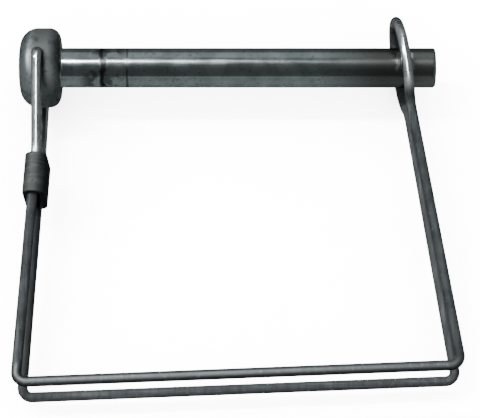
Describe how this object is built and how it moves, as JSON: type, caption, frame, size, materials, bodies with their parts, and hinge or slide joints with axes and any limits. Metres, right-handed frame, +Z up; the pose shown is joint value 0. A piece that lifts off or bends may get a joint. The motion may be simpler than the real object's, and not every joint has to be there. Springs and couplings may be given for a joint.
{
  "type": "hitch pin",
  "caption": "Headed hitch pin with a square wire bail hinged in the head; the bail's round eye springs over the free end to lock it.",
  "frame": {"origin": "on the pin's axis at the head's bearing face", "axes": "+X along the pin to its free end, +Z up along the cross hole as the pin lies flat, the bail's far bar towards -Y"},
  "size_m": [0.1038, 0.093, 0.0246],
  "materials": {
    "pin_steel": "blued grey steel, lightly worn, semi-gloss",
    "wire_steel": "dark plated spring wire, semi-gloss",
    "sleeve_steel": "dark plated steel, satin"
  },
  "bodies": {
    "pin": {"headed_pin": "pin_steel"},
    "bail": {"bail_wire": "wire_steel", "crimp_sleeve": "sleeve_steel"}
  },
  "joints": [
    {"name": "bail_hinge", "type": "hinge", "parent": "pin", "child": "bail", "pos_m": [-0.0048, 0, 0], "axis": [0, 0, 1], "range_deg": [-250, 3]}
  ]
}
